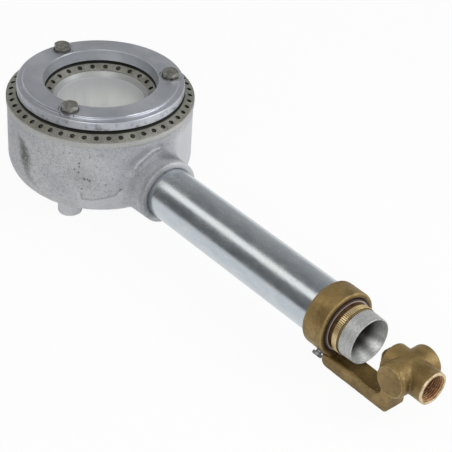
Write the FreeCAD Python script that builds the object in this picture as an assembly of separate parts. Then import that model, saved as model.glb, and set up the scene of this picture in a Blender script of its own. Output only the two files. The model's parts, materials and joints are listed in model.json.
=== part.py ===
import FreeCAD, Part
import math
import os

# Ring gas burner with its mixing tube, air bell and injector bracket. Millimetres.
# Frame: Z up along the burner's axis, X along the mixing tube, and the origin on the
# burner's axis in the plane of the foot lugs' lower faces.
# A corner of an outline is (u, w) or (u, w, rounding radius).

V = FreeCAD.Vector
X_AXIS = V(1, 0, 0)
Y_AXIS = V(0, 1, 0)
Z_AXIS = V(0, 0, 1)

# Main sizes
rim_radius = 60.5
rim_height = 63.0
axis_height = 26.3
bolt_circle_radius = 44.6
bolt_angles = (-61.2, 58.8, 178.8)
lug_angles = (-60.5, 59.5, 179.5)

# Burner body casting
body_bottom = 3.5
body_wall = 4.0
body_wall_radius = 59.9
body_bottom_round = 20.0
body_seam_turn = 135.0
lip_height = 4.2
lip_slope = 0.6
lip_edge_round = 0.3
seat_drop = 0.6
outer_seat_inner = 58.0
inner_seat_outer = 32.0
chamber_inner_radius = 31.4
chamber_inner_round = 6.0
chamber_flare_top = 6.0
chamber_flare_bottom = 10.0
chamber_inner_slope = 0.8
opening_bottom_radius = 27.2
opening_top_radius = 28.1
opening_edge_round = 3.0
opening_neck_radius = 28.3
opening_groove_radius = 28.7
opening_groove_top = 4.0
opening_groove_bottom = 4.5
opening_chamfer_radius = 30.3
post_radius = 6.5
post_hole_depth = 16.0
lug_circle_radius = 45.7
lug_radius = 7.75
lug_top = 12.0
lug_edge_round = 1.0
lug_thread_radius = 2.5
lug_thread_depth = 12.0
socket_start = 44.0
socket_root_radius = 22.0
socket_radius = 21.0
socket_end = 73.5
socket_edge_round = 3.0
socket_root_round = 6.0
socket_mouth_radius = 17.9
socket_mouth_depth = 2.0
tube_stop = 57.5

# Port ring
ring_inner_radius = 30.4
ring_edge_round = 0.2
outer_band_inner = 54.2
inner_band_outer = 35.4
band_rise = 2.1
spigot_depth = 1.0
spigot_gap = 0.05
groove_floor = 1.2
groove_bank = 0.6
land_outer_radius = 48.5
land_inner_radius = 40.5
land_height = 4.2
outer_port_count = 48
outer_port_circle = 57.3
outer_port_phase = 6.48
inner_port_count = 24
inner_port_circle = 32.84
inner_port_phase = 3.62
port_radius = 1.4
port_drill_length = 9.0
drill_lead = 2.0

# Cover ring
cover_inner_bottom = 35.85
cover_inner_top = 37.0
cover_flange_bottom = 53.9
cover_flange_top = 53.6
cover_flange_height = 9.6
cover_flange_round = 0.6
cover_step_radius = 49.9
cover_step_height = 9.9
cover_step_round = 0.6
cover_height = 11.4
cover_edge_round = 0.5
cover_lower_edge_round = 0.3
spot_face_radius = 7.5
spot_face_depth = 0.15

# Cover bolts (M6 x 25) and their spring washers
bolt_radius = 2.95
bolt_length = 25.0
bolt_tip_chamfer = 0.8
bolt_flats = 9.6
bolt_head_height = 2.9
bolt_head_turns = (-30.0, -30.0, -27.0)
hexagon_flat_top_share = 0.475
hexagon_chamfer_degrees = 30.0
bolt_hole_radius = 3.3
bolt_thread_hole_radius = 3.0
washer_radius = 5.4
washer_bore = 3.1
washer_thickness = 1.1
washer_gap = 1.2
washer_gap_lean = 22.0
washer_gap_turns = (205.0, 330.0, 250.0)

# Mixing tube
tube_radius = 16.85
tube_wall = 1.5
tube_end = 236.0
tube_edge = 0.6

# Bush in the tube's end, which guides the air bell and carries the adjusting ring
bush_start = 212.0
bush_shoulder = 235.4
bush_nose_end = 240.5
bush_nose_radius = 13.25
bush_lead_in = 0.8
running_gap = 0.05

# Guide pin, which keeps the air bell from turning
guide_pin_x = 224.0
guide_pin_radius = 1.0
guide_pin_outer = 15.3
guide_pin_inner = 10.9
guide_slot_half_width = 1.06
guide_slot_floor = 10.6
guide_slot_end = 230.0

# Retaining wire between the bush's nose and the adjusting ring
wire_x = 239.7
wire_radius = 0.35
wire_ring_radius = 13.28
wire_gap_degrees = 14.0

# Adjusting ring
adjusting_back = 238.8
adjusting_front = 242.5
adjusting_radius = 15.4
adjusting_counterbore_end = 240.75
adjusting_teeth = 81
tooth_depth = 0.4
tooth_groove_share = 0.36

# Air bell
stem_start = 214.0
stem_radius = 12.0
stem_edge_round = 0.5
diffuser_radius = 9.6
throat_x = 240.0
throat_radius = 7.4
throat_round = 4.0
bell_back = 243.7
bell_back_radius = 14.95
bell_mouth = 253.4
bell_mouth_radius = 14.6
bell_back_round = 0.5
bell_edge_round = 0.35
mouth_cone_radius = 13.9
mouth_lip_round = 0.2

# Injector bracket casting
collar_back = 219.0
collar_front = 235.0
collar_radius = 20.4
collar_bore = 16.93
collar_back_round = 2.4
collar_front_round = 1.2
collar_bore_chamfer = 0.6
arm_back = 229.6
arm_front = 281.8
arm_near_side = -12.1
arm_far_side = 3.0
arm_bottom = 0.0
arm_top = 8.8
arm_edge_round = 1.5
arm_back_round = 4.5
arm_front_round = 2.6
neck_back = 275.5
neck_round = 4.0
neck_top_drop = 4.0
trough_start = 237.2
trough_end = 273.4
trough_near_start = -8.7
trough_near_end = -11.0
trough_far_side = 2.2
trough_near_depth = 3.6
trough_far_depth = 0.6
trough_corner_round = 3.5
trough_floor_round = 1.4
holder_x = 284.0
injector_lobe_end = 270.5
injector_lobe_radius = 10.25
far_lobe_end = 14.9
far_lobe_radius = 10.3
near_lobe_end = 15.4
near_lobe_radius = 9.55
near_shoulder_end = 14.6
near_shoulder_radius = 10.2
near_shoulder_round = 1.0
lobe_edge_round = 1.5
disc_edge_round = 0.6
inlet_face = 301.9
inlet_boss_radius = 10.06
inlet_boss_round = 0.5
inlet_thread_radius = 7.48
inlet_thread_depth = 13.0
inlet_chamfer = 0.9
gas_way_radius = 4.0
gas_way_cone = 2.0
injector_hole_radius = 4.5
injector_hole_depth = 9.5

# Set screw (M4), slotted, square to the tube's axis at the collar's lower side
set_screw_x = 231.2
set_screw_angle = 222.0
set_screw_radius = 1.95
set_screw_hole_radius = 2.0
set_screw_head_base = 22.0
set_screw_head_height = 2.1
set_screw_head_radius = 3.2
set_screw_head_round = 0.6
set_screw_head_under_round = 0.2
set_screw_tip_round = 0.4
set_screw_slot_width = 1.0
set_screw_slot_depth = 1.1
set_screw_slot_turn = 35.0
set_screw_tip_gap = 0.03

# Injector and its seal
injector_tip = 265.4
injector_tip_radius = 3.2
injector_tip_round = 0.8
injector_hex_start = 267.2
injector_hex_end = 269.8
injector_flats = 10.0
injector_thread_radius = 4.45
injector_thread_length = 8.5
injector_thread_round = 0.5
jet_radius = 0.9
jet_length = 3.0
jet_cone = 1.5
injector_bore = 2.4
seal_radius = 6.0
seal_bore = 4.55


def outline_face(corners):
    """A flat face in the XZ plane, with its corners rounded where they say so."""
    ends = []
    for i, corner in enumerate(corners):
        here = V(corner[0], 0, corner[1])
        if len(corner) == 2:
            ends.append((here, None, here))
            continue
        before = corners[i - 1]
        after = corners[(i + 1) % len(corners)]
        back = V(before[0], 0, before[1]).sub(here).normalize()
        ahead = V(after[0], 0, after[1]).sub(here).normalize()
        radius = corner[2]
        half = back.getAngle(ahead) / 2
        inward = back.add(ahead).normalize()
        middle = here.add(inward * (radius / math.sin(half) - radius))
        cut = radius / math.tan(half)
        ends.append((here.add(back * cut), middle, here.add(ahead * cut)))
    edges = []
    for i, (start, middle, end) in enumerate(ends):
        if middle is not None:
            edges.append(Part.Arc(start, middle, end).toShape())
        next_start = ends[(i + 1) % len(ends)][0]
        if end.distanceToPoint(next_start) > 1e-6:
            edges.append(Part.LineSegment(end, next_start).toShape())
    return Part.Face(Part.Wire(edges))


def turned_z(corners):
    """A solid of revolution about the burner's axis, from (radius, height) corners."""
    return outline_face(corners).revolve(V(0, 0, 0), Z_AXIS, 360)


def turned_x(corners):
    """A solid of revolution about the tube's axis, from (x, radius) corners."""
    solid = outline_face(corners).revolve(V(0, 0, 0), X_AXIS, 360)
    solid.translate(V(0, 0, axis_height))
    return solid


def rod(radius, start, end):
    """A cylinder from one point to another."""
    way = end.sub(start)
    return Part.makeCylinder(radius, way.Length, start, way)


def polar(radius, degrees, height):
    """A point from its radius, angle and height about the burner's axis."""
    angle = math.radians(degrees)
    return V(radius * math.cos(angle), radius * math.sin(angle), height)


def pointed_along(shape, point, way):
    """Moves a shape built on the origin along Z to a point and direction."""
    moved = shape.copy()
    turn = FreeCAD.Rotation(Z_AXIS, way)
    moved.Placement = FreeCAD.Placement(point, turn).multiply(moved.Placement)
    return moved


def hexagon_head(flats, height, turn):
    """A hexagon on the origin along Z, with a corner at the given angle and a chamfered top."""
    corner = flats / math.sqrt(3)
    corners = [polar(corner, turn + 60 * i, 0) for i in range(7)]
    prism = Part.Face(Part.makePolygon(corners)).extrude(V(0, 0, height))
    flat_top = flats * hexagon_flat_top_share
    drop = (corner - flat_top) * math.tan(math.radians(hexagon_chamfer_degrees))
    envelope = turned_z([(0, 0), (corner, 0), (corner, height - drop), (flat_top, height), (0, height)])
    return prism.common(envelope)


def chamber():
    """The gas space between the body's walls, open at the top."""
    rim = rim_height
    outer = body_wall_radius - body_wall
    floor = body_bottom + body_wall
    return turned_z([
        (chamber_inner_radius, floor, chamber_inner_round),
        (outer, floor, body_bottom_round - body_wall),
        (outer, rim - chamber_flare_bottom),
        (outer_seat_inner, rim - chamber_flare_top),
        (outer_seat_inner, rim),
        (inner_seat_outer, rim),
        (inner_seat_outer, rim - chamber_flare_top),
        (chamber_inner_radius, rim - chamber_flare_top - chamber_inner_slope),
    ])


def burner_body():
    rim = rim_height
    seat = rim - seat_drop
    bowl = turned_z([
        (rim_radius, seat, lip_edge_round),
        (rim_radius, rim - lip_height),
        (body_wall_radius, rim - lip_height - lip_slope),
        (body_wall_radius, body_bottom, body_bottom_round),
        (opening_bottom_radius, body_bottom, opening_edge_round),
        (opening_top_radius, rim - opening_groove_bottom),
        (opening_groove_radius, rim - opening_groove_bottom),
        (opening_groove_radius, rim - opening_groove_top),
        (opening_neck_radius, rim - opening_groove_top),
        (opening_chamfer_radius, seat),
    ])
    bowl.rotate(V(0, 0, 0), Z_AXIS, body_seam_turn)
    socket = turned_x([
        (socket_start, 0),
        (socket_start, socket_root_radius),
        (socket_end, socket_radius, socket_edge_round),
        (socket_end, 0),
    ])
    body = bowl.fuse(socket)
    root = [e for e in body.Edges if is_socket_root(e)]
    body = body.makeFillet(socket_root_round, root)
    space = chamber()
    space.rotate(V(0, 0, 0), Z_AXIS, body_seam_turn)
    body = body.cut(space)
    for degrees in lug_angles:
        lug = turned_z([(0, 0), (lug_radius, 0, lug_edge_round), (lug_radius, lug_top), (0, lug_top)])
        lug.translate(polar(lug_circle_radius, degrees, 0))
        body = body.fuse(lug.cut(space))
    for degrees in bolt_angles:
        foot = polar(bolt_circle_radius, degrees, body_bottom + body_wall / 2)
        top = polar(bolt_circle_radius, degrees, rim - spigot_depth)
        body = body.fuse(rod(post_radius, foot, top))
    holes = [
        rod(tube_radius, V(tube_stop, 0, axis_height), V(socket_end + 1, 0, axis_height)),
        rod(tube_radius - tube_wall, V(socket_start, 0, axis_height), V(socket_end, 0, axis_height)),
        rod(socket_mouth_radius, V(socket_end - socket_mouth_depth, 0, axis_height),
            V(socket_end + 1, 0, axis_height)),
    ]
    for degrees in bolt_angles:
        top = polar(bolt_circle_radius, degrees, rim)
        holes.append(rod(bolt_thread_hole_radius, top, top.sub(V(0, 0, post_hole_depth))))
    for degrees in lug_angles:
        lug_face = polar(lug_circle_radius, degrees, 0)
        holes.append(rod(lug_thread_radius, lug_face.sub(V(0, 0, 1)),
                         lug_face.add(V(0, 0, lug_thread_depth))))
    return body.cut(holes).removeSplitter()


def is_socket_root(edge):
    """True for the edges where the socket meets the outside of the bowl."""
    box = edge.BoundBox
    if box.XMin < socket_start + 1 or box.XMax > socket_end - socket_edge_round - 1:
        return False
    for vertex in edge.Vertexes:
        point = vertex.Point
        from_axis = math.hypot(point.y, point.z - axis_height)
        if abs(from_axis - socket_root_radius) > 1.2:
            return False
    return len(edge.Vertexes) > 0


def port_drills(count, circle, phase, lean_degrees, height):
    """The drills of one band, each square to the band at its circle."""
    lean = math.radians(lean_degrees)
    drills = []
    for i in range(count):
        degrees = phase + 360.0 * i / count
        mouth = polar(circle, degrees, height)
        outward = polar(math.sin(lean), degrees, math.cos(lean))
        drills.append(rod(port_radius, mouth.add(outward * drill_lead), mouth.sub(outward * port_drill_length)))
    return drills


def port_ring():
    rim = rim_height
    seat = rim - seat_drop
    outer_width = rim_radius - outer_band_inner
    inner_width = inner_band_outer - ring_inner_radius
    ring = turned_z([
        (rim_radius, seat),
        (rim_radius, rim, ring_edge_round),
        (outer_band_inner, rim + band_rise),
        (outer_band_inner - groove_bank, rim + groove_floor),
        (land_outer_radius, rim + groove_floor),
        (land_outer_radius, rim + land_height),
        (land_inner_radius, rim + land_height),
        (land_inner_radius, rim + groove_floor),
        (inner_band_outer + groove_bank, rim + groove_floor),
        (inner_band_outer, rim + band_rise),
        (ring_inner_radius, rim, ring_edge_round),
        (ring_inner_radius, seat),
        (inner_seat_outer + spigot_gap, seat),
        (inner_seat_outer + spigot_gap, rim - spigot_depth),
        (outer_seat_inner - spigot_gap, rim - spigot_depth),
        (outer_seat_inner - spigot_gap, seat),
    ])
    outer_lean = math.degrees(math.atan2(band_rise, outer_width))
    inner_lean = math.degrees(math.atan2(band_rise, inner_width))
    outer_height = rim + band_rise * (rim_radius - outer_port_circle) / outer_width
    inner_height = rim + band_rise * (inner_port_circle - ring_inner_radius) / inner_width
    holes = port_drills(outer_port_count, outer_port_circle, outer_port_phase, outer_lean, outer_height)
    holes += port_drills(inner_port_count, inner_port_circle, inner_port_phase, -inner_lean, inner_height)
    for degrees in bolt_angles:
        bottom = polar(bolt_circle_radius, degrees, rim - drill_lead)
        top = polar(bolt_circle_radius, degrees, rim + land_height + drill_lead)
        holes.append(rod(bolt_hole_radius, bottom, top))
    return ring.cut(holes)


def cover_ring():
    rim = rim_height
    ring = turned_z([
        (cover_inner_bottom, rim + land_height),
        (cover_flange_bottom, rim + land_height, cover_lower_edge_round),
        (cover_flange_top, rim + cover_flange_height, cover_flange_round),
        (cover_step_radius, rim + cover_step_height, cover_step_round),
        (cover_step_radius, rim + cover_height, cover_edge_round),
        (cover_inner_top, rim + cover_height, cover_edge_round),
    ])
    holes = []
    for degrees in bolt_angles:
        seat = polar(bolt_circle_radius, degrees, rim + cover_height - spot_face_depth)
        above = seat.add(V(0, 0, drill_lead))
        below = seat.sub(V(0, 0, cover_height))
        holes.append(rod(spot_face_radius, seat, above))
        holes.append(rod(bolt_hole_radius, below, above))
    return ring.cut(holes)


def spring_washer(degrees, gap_turn):
    seat = polar(bolt_circle_radius, degrees, rim_height + cover_height - spot_face_depth)
    ring = turned_z([(washer_bore, 0), (washer_radius, 0), (washer_radius, washer_thickness),
                     (washer_bore, washer_thickness)])
    gap = Part.makeBox(washer_radius + 1, washer_gap, washer_thickness + 4,
                       V(0, -washer_gap / 2, -washer_thickness / 2 - 2))
    gap.rotate(V(0, 0, 0), X_AXIS, washer_gap_lean)
    gap.translate(V(0, 0, washer_thickness / 2))
    gap.rotate(V(0, 0, 0), Z_AXIS, gap_turn)
    washer = ring.cut(gap)
    washer.translate(seat)
    return washer


def cover_bolt(degrees, head_turn):
    head_base = rim_height + cover_height - spot_face_depth + washer_thickness
    head = hexagon_head(bolt_flats, bolt_head_height, head_turn)
    shank = turned_z([
        (0, -bolt_length),
        (bolt_radius - bolt_tip_chamfer, -bolt_length),
        (bolt_radius, -bolt_length + bolt_tip_chamfer),
        (bolt_radius, 1),
        (0, 1),
    ])
    bolt = head.fuse(shank).removeSplitter()
    bolt.translate(polar(bolt_circle_radius, degrees, head_base))
    return bolt


def mixing_tube():
    inner = tube_radius - tube_wall
    return turned_x([
        (tube_stop, inner),
        (tube_stop, tube_radius),
        (tube_end, tube_radius, tube_edge),
        (tube_end, inner),
    ])


def tube_bush():
    outer = tube_radius - tube_wall
    bore = stem_radius + running_gap
    bush = turned_x([
        (bush_start, bore),
        (bush_start, outer - bush_lead_in),
        (bush_start + bush_lead_in, outer),
        (bush_shoulder, outer),
        (bush_shoulder, bush_nose_radius),
        (bush_nose_end, bush_nose_radius),
        (bush_nose_end, bore),
    ])
    return bush.cut([wire_groove(wire_radius), guide_pin(tube_radius)])


def wire_groove(radius):
    """The ring-shaped space round the retaining wire's line."""
    return Part.makeTorus(wire_ring_radius, radius, V(wire_x, 0, axis_height), X_AXIS)


def retaining_wire():
    wire = wire_groove(wire_radius)
    half_gap = math.radians(wire_gap_degrees) / 2
    reach = wire_ring_radius + 2
    wedge = Part.Face(Part.makePolygon([
        V(wire_x - 2, 0, 0),
        V(wire_x - 2, reach * math.sin(half_gap), -reach),
        V(wire_x - 2, -reach * math.sin(half_gap), -reach),
        V(wire_x - 2, 0, 0),
    ])).extrude(V(4, 0, 0))
    wedge.translate(V(0, 0, axis_height))
    return wire.cut(wedge)


def guide_pin(outer_end):
    """The pin below the tube's axis, or its hole where the outer end is outside the bush."""
    start = V(guide_pin_x, 0, axis_height - outer_end)
    return rod(guide_pin_radius, start, V(guide_pin_x, 0, axis_height - guide_pin_inner))


def adjusting_ring():
    thread_bore = stem_radius + running_gap
    nose_bore = bush_nose_radius + running_gap
    blank = turned_x([
        (adjusting_back, nose_bore),
        (adjusting_back, adjusting_radius),
        (adjusting_front, adjusting_radius),
        (adjusting_front, thread_bore),
        (adjusting_counterbore_end, thread_bore),
        (adjusting_counterbore_end, nose_bore),
    ])
    blank = blank.cut(wire_groove(wire_radius + running_gap))
    pitch = 360.0 / adjusting_teeth
    half_groove = adjusting_radius * math.radians(pitch) * tooth_groove_share
    groove = Part.Face(Part.makePolygon([
        V(adjusting_back - 1, 0, adjusting_radius - tooth_depth),
        V(adjusting_back - 1, half_groove, adjusting_radius + 0.1),
        V(adjusting_back - 1, -half_groove, adjusting_radius + 0.1),
        V(adjusting_back - 1, 0, adjusting_radius - tooth_depth),
    ])).extrude(V(adjusting_front - adjusting_back + 2, 0, 0))
    grooves = []
    for i in range(adjusting_teeth):
        cutter = groove.copy()
        cutter.rotate(V(0, 0, 0), X_AXIS, pitch * i)
        cutter.translate(V(0, 0, axis_height))
        grooves.append(cutter)
    return blank.cut(grooves)


def air_bell():
    bell = turned_x([
        (stem_start, diffuser_radius),
        (stem_start, stem_radius, stem_edge_round),
        (bell_back, stem_radius),
        (bell_back, bell_back_radius, bell_back_round),
        (bell_mouth, bell_mouth_radius, bell_edge_round),
        (bell_mouth, mouth_cone_radius, mouth_lip_round),
        (throat_x, throat_radius, throat_round),
    ])
    slot = Part.makeBox(guide_slot_end - stem_start + 1, 2 * guide_slot_half_width, 4,
                        V(stem_start - 1, -guide_slot_half_width, axis_height - guide_slot_floor - 4))
    return bell.cut(slot)


def lobe(corners, way):
    """A rounded lobe of the holder's cross, from (length, radius) corners."""
    shape = outline_face([(radius, length) + rest for length, radius, *rest in corners
                          for rest in [tuple(rest)]])
    solid = shape.revolve(V(0, 0, 0), Z_AXIS, 360)
    return pointed_along(solid, V(holder_x, 0, axis_height), way)


def bracket_arm():
    """The bar under the air bell, with its neck at the holder and a trough along its top."""
    above = axis_height - neck_top_drop
    arm = outline_face([
        (arm_back, arm_top),
        (arm_back, arm_bottom, arm_back_round),
        (arm_front, arm_bottom, arm_front_round),
        (arm_front, above),
        (neck_back, above),
        (neck_back, arm_top, neck_round),
    ]).extrude(V(0, arm_far_side - arm_near_side, 0))
    arm.translate(V(0, arm_near_side, 0))
    long_edges = [e for e in arm.Edges if e.BoundBox.YLength < 0.01]
    arm = arm.makeFillet(arm_edge_round, long_edges)
    return arm.cut(arm_trough())


def arm_trough():
    """The space of the trough: its near wall is deep, and its floor rises to the far side."""
    above = arm_top + trough_near_depth
    plan = [
        V(trough_start, trough_near_start, above),
        V(trough_end, trough_near_end, above),
        V(trough_end, trough_far_side, above),
        V(trough_start, trough_far_side, above),
        V(trough_start, trough_near_start, above),
    ]
    trough = Part.Face(Part.makePolygon(plan)).extrude(V(0, 0, -2 * trough_near_depth))
    upright = [e for e in trough.Edges if e.BoundBox.ZLength > trough_near_depth]
    trough = trough.makeFillet(trough_corner_round, upright)
    near_side = arm_near_side - 1
    far_side = arm_far_side + 1
    rise = (trough_near_depth - trough_far_depth) / (trough_far_side - trough_near_end)
    near_floor = arm_top - trough_near_depth - rise * (trough_near_end - near_side)
    far_floor = arm_top - trough_far_depth + rise * (far_side - trough_far_side)
    wedge = Part.Face(Part.makePolygon([
        V(trough_start - 1, near_side, near_floor),
        V(trough_start - 1, far_side, far_floor),
        V(trough_start - 1, far_side, above),
        V(trough_start - 1, near_side, above),
        V(trough_start - 1, near_side, near_floor),
    ])).extrude(V(trough_end - trough_start + 2, 0, 0))
    trough = trough.common(wedge)
    floor = [e for e in trough.Edges if e.CenterOfMass.z < arm_top and e.BoundBox.ZMax < above - 0.1
             and not is_upright(e)]
    return trough.makeFillet(trough_floor_round, floor)


def is_upright(edge):
    box = edge.BoundBox
    return box.ZLength > 10 * max(box.XLength, box.YLength)


def injector_bracket():
    collar = turned_x([
        (collar_back, 0),
        (collar_back, collar_radius, collar_back_round),
        (collar_front, collar_radius, collar_front_round),
        (collar_front, 0),
    ])
    lobes = [
        lobe([(0, 0), (0, injector_lobe_radius),
              (holder_x - injector_lobe_end, injector_lobe_radius, lobe_edge_round),
              (holder_x - injector_lobe_end, 0)], X_AXIS * -1),
        lobe([(0, 0), (0, far_lobe_radius), (far_lobe_end, far_lobe_radius, lobe_edge_round),
              (far_lobe_end, 0)], Y_AXIS),
        lobe([(0, 0), (0, near_shoulder_radius), (near_shoulder_end, near_shoulder_radius, near_shoulder_round),
              (near_shoulder_end, near_lobe_radius),
              (near_lobe_end, near_lobe_radius, disc_edge_round), (near_lobe_end, 0)], Y_AXIS * -1),
        lobe([(0, 0), (0, inlet_boss_radius),
              (inlet_face - holder_x, inlet_boss_radius, inlet_boss_round),
              (inlet_face - holder_x, 0)], X_AXIS),
    ]
    bracket = collar.fuse([bracket_arm()] + lobes)
    bore = turned_x([
        (collar_back - 1, 0),
        (collar_back - 1, collar_bore + collar_bore_chamfer + 1),
        (collar_back + collar_bore_chamfer, collar_bore),
        (collar_front - collar_bore_chamfer, collar_bore),
        (collar_front + 1, collar_bore + collar_bore_chamfer + 1),
        (collar_front + 1, 0),
    ])
    gas_way = turned_x([
        (injector_lobe_end - 1, 0),
        (injector_lobe_end - 1, injector_hole_radius),
        (injector_lobe_end + injector_hole_depth, injector_hole_radius),
        (injector_lobe_end + injector_hole_depth, gas_way_radius),
        (inlet_face - inlet_thread_depth - gas_way_cone, gas_way_radius),
        (inlet_face - inlet_thread_depth, inlet_thread_radius),
        (inlet_face - inlet_chamfer, inlet_thread_radius),
        (inlet_face + 1, inlet_thread_radius + inlet_chamfer + 1),
        (inlet_face + 1, 0),
    ])
    way = set_screw_way()
    screw_foot = V(set_screw_x, 0, axis_height)
    screw_hole = rod(set_screw_hole_radius, screw_foot.add(way * (collar_bore - 1)), screw_foot.add(way * (collar_radius + 1)))
    return bracket.cut([bore, gas_way, screw_hole]).removeSplitter()


def set_screw_way():
    angle = math.radians(set_screw_angle)
    return V(0, math.cos(angle), math.sin(angle))


def set_screw():
    """A slotted pan-head screw, built along Z with the tube's axis at the origin."""
    head_top = set_screw_head_base + set_screw_head_height
    screw = turned_z([
        (0, tube_radius + set_screw_tip_gap),
        (set_screw_radius, tube_radius + set_screw_tip_gap, set_screw_tip_round),
        (set_screw_radius, set_screw_head_base),
        (set_screw_head_radius, set_screw_head_base, set_screw_head_under_round),
        (set_screw_head_radius, head_top, set_screw_head_round),
        (0, head_top),
    ])
    slot = Part.makeBox(2 * set_screw_head_radius + 2, set_screw_slot_width, set_screw_slot_depth + 1,
                        V(-set_screw_head_radius - 1, -set_screw_slot_width / 2,
                          head_top - set_screw_slot_depth))
    slot.rotate(V(0, 0, 0), Z_AXIS, set_screw_slot_turn)
    return pointed_along(screw.cut(slot), V(set_screw_x, 0, axis_height), set_screw_way())


def injector():
    hexagonal = hexagon_head(injector_flats, injector_hex_end - injector_hex_start, 0)
    hexagonal = pointed_along(hexagonal, V(injector_hex_end, 0, axis_height), X_AXIS * -1)
    thread_end = injector_hex_end + injector_thread_length
    turned = turned_x([
        (injector_tip, 0),
        (injector_tip, injector_tip_radius, injector_tip_round),
        (injector_hex_start + 1, injector_tip_radius),
        (injector_hex_start + 1, injector_thread_radius),
        (thread_end, injector_thread_radius, injector_thread_round),
        (thread_end, 0),
    ])
    jet = turned_x([
        (injector_tip - 1, 0),
        (injector_tip - 1, jet_radius),
        (injector_tip + jet_length, jet_radius),
        (injector_tip + jet_length + jet_cone, injector_bore),
        (thread_end + 1, injector_bore),
        (thread_end + 1, 0),
    ])
    return hexagonal.fuse(turned).cut(jet).removeSplitter()


def injector_seal():
    return turned_x([
        (injector_hex_end, seal_bore),
        (injector_hex_end, seal_radius),
        (injector_lobe_end, seal_radius),
        (injector_lobe_end, seal_bore),
    ])


def write(name, shape):
    """Writes a one-solid piece to its STEP file and prints its size."""
    if len(shape.Solids) != 1 or not shape.isValid():
        print("CHECK", name, "solids", len(shape.Solids), "valid", shape.isValid())
    solid = shape.Solids[0]
    solid.exportStep(os.path.join("parts", name + ".step"))
    box = solid.BoundBox
    print("%-18s %9.0f mm3  x %.1f..%.1f  y %.1f..%.1f  z %.1f..%.1f" % (
        name, solid.Volume, box.XMin, box.XMax, box.YMin, box.YMax, box.ZMin, box.ZMax))


def main():
    os.makedirs("parts", exist_ok=True)
    write("burner_body", burner_body())
    write("port_ring", port_ring())
    write("cover_ring", cover_ring())
    for i, degrees in enumerate(bolt_angles):
        write("cover_bolt_%d" % (i + 1), cover_bolt(degrees, bolt_head_turns[i]))
        write("spring_washer_%d" % (i + 1), spring_washer(degrees, washer_gap_turns[i]))
    write("mixing_tube", mixing_tube())
    write("tube_bush", tube_bush())
    write("guide_pin", guide_pin(guide_pin_outer))
    write("retaining_wire", retaining_wire())
    write("adjusting_ring", adjusting_ring())
    write("air_bell", air_bell())
    write("injector_bracket", injector_bracket())
    write("set_screw", set_screw())
    write("injector", injector())
    write("injector_seal", injector_seal())


main()
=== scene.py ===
import json
import math

import bmesh
import bpy
import numpy as np
from mathutils import Matrix, Vector, noise


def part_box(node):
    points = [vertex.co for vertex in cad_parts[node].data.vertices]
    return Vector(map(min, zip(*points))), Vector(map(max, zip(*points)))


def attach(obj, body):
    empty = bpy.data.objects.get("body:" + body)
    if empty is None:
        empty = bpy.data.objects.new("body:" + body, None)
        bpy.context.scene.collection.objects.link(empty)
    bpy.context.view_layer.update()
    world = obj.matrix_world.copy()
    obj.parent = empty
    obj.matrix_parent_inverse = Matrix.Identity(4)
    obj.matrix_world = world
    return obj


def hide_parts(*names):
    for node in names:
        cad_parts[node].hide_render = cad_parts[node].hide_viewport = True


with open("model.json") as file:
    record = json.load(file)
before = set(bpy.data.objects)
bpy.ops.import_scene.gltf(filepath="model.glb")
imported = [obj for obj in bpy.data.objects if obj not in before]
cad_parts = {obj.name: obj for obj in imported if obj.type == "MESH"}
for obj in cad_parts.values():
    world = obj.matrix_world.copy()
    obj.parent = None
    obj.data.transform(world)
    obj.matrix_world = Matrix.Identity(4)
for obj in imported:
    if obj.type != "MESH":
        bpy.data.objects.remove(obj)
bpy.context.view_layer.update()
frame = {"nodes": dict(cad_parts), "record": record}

# Ring gas burner with its mixing tube, air bell and brass injector bracket. Metres, in the
# part's own frame: Z up along the burner's axis, X along the mixing tube.

MM = 0.001
TINY = 1e-6
NODES = frame["nodes"]


def span(low, high, origin=0.0):
    """Two lengths given in millimetres from an origin, as metres."""
    return origin + low * MM, origin + high * MM


# Sizes that the frame doesn't give, as they are in the solids
RIM_BELOW_COVER = 11.4 * MM
COLLAR_LENGTH = 16.0 * MM
WALL_RADIUS = 59.9 * MM
OUTER_PORTS = {"count": 48, "circle": 57.3 * MM, "first_degrees": 6.48}
INNER_PORTS = {"count": 24, "circle": 32.84 * MM, "first_degrees": 3.62}

# Heights, lengths and radii read from the frame
tube_low, tube_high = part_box("mixing_tube")
bracket_low, bracket_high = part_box("injector_bracket")
bell_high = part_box("air_bell")[1]
AXIS = (tube_low.z + tube_high.z) / 2
TUBE_RADIUS = (tube_high.z - tube_low.z) / 2
COVER_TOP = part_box("cover_ring")[1].z
RIM = COVER_TOP - RIM_BELOW_COVER
BODY_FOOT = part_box("burner_body")[0].z
BRACKET_FOOT = bracket_low.z
INLET_FACE = bracket_high.x
REEDED_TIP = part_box("adjusting_ring")[1].z - AXIS
COLLAR_FRONT = bracket_low.x + COLLAR_LENGTH

# Places between which a look fades in or out, as pairs

# Casting: painted shade in its corners, the turned lip, and the opening's painted reflection and shade
CORNER_REACH = 12 * MM
CORNER_FOOT = span(12, 20)
CORNER_SOCKET = span(50, 58)
CORNER_SOCKET_END = span(71.6, 72.6)
TURNED_LIP = span(-5.0, -4.4, RIM)
OPENING_WALL = span(30.6, 31.2)
OPENING_FOOT = span(4, 9)
OPENING_TOP_SHADE = span(-24, -4, RIM)
OPENING_SEAT = span(-4.3, -3.9, RIM)

# Port ring: soot at each port, and the band under the cover between the two rows, darkened with painted shade
# and soot
PORT_SOOT = span(1.4, 1.75)
BAND_INSIDE = span(35.6, 36.2)
BAND_OUTSIDE = span(53.4, 53.9)

# Cover: marks round the bolts with painted shade round their washers, and the soiled side of its flange
WITNESS_OUTSIDE = span(7.2, 7.6)
WITNESS_INSIDE = span(6.6, 7.0)
WASHER_SHADE = span(5.6, 6.4)
FLANGE_TOP = span(-3.0, -2.2, COVER_TOP)
FLANGE_SIDE = span(46, 49)

# Tube's bare end: its length, and the dark outer edge of its face
TUBE_END = span(-1.9, -1.5, tube_high.x)
TUBE_EDGE = span(-0.8, -0.5, TUBE_RADIUS)
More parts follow.
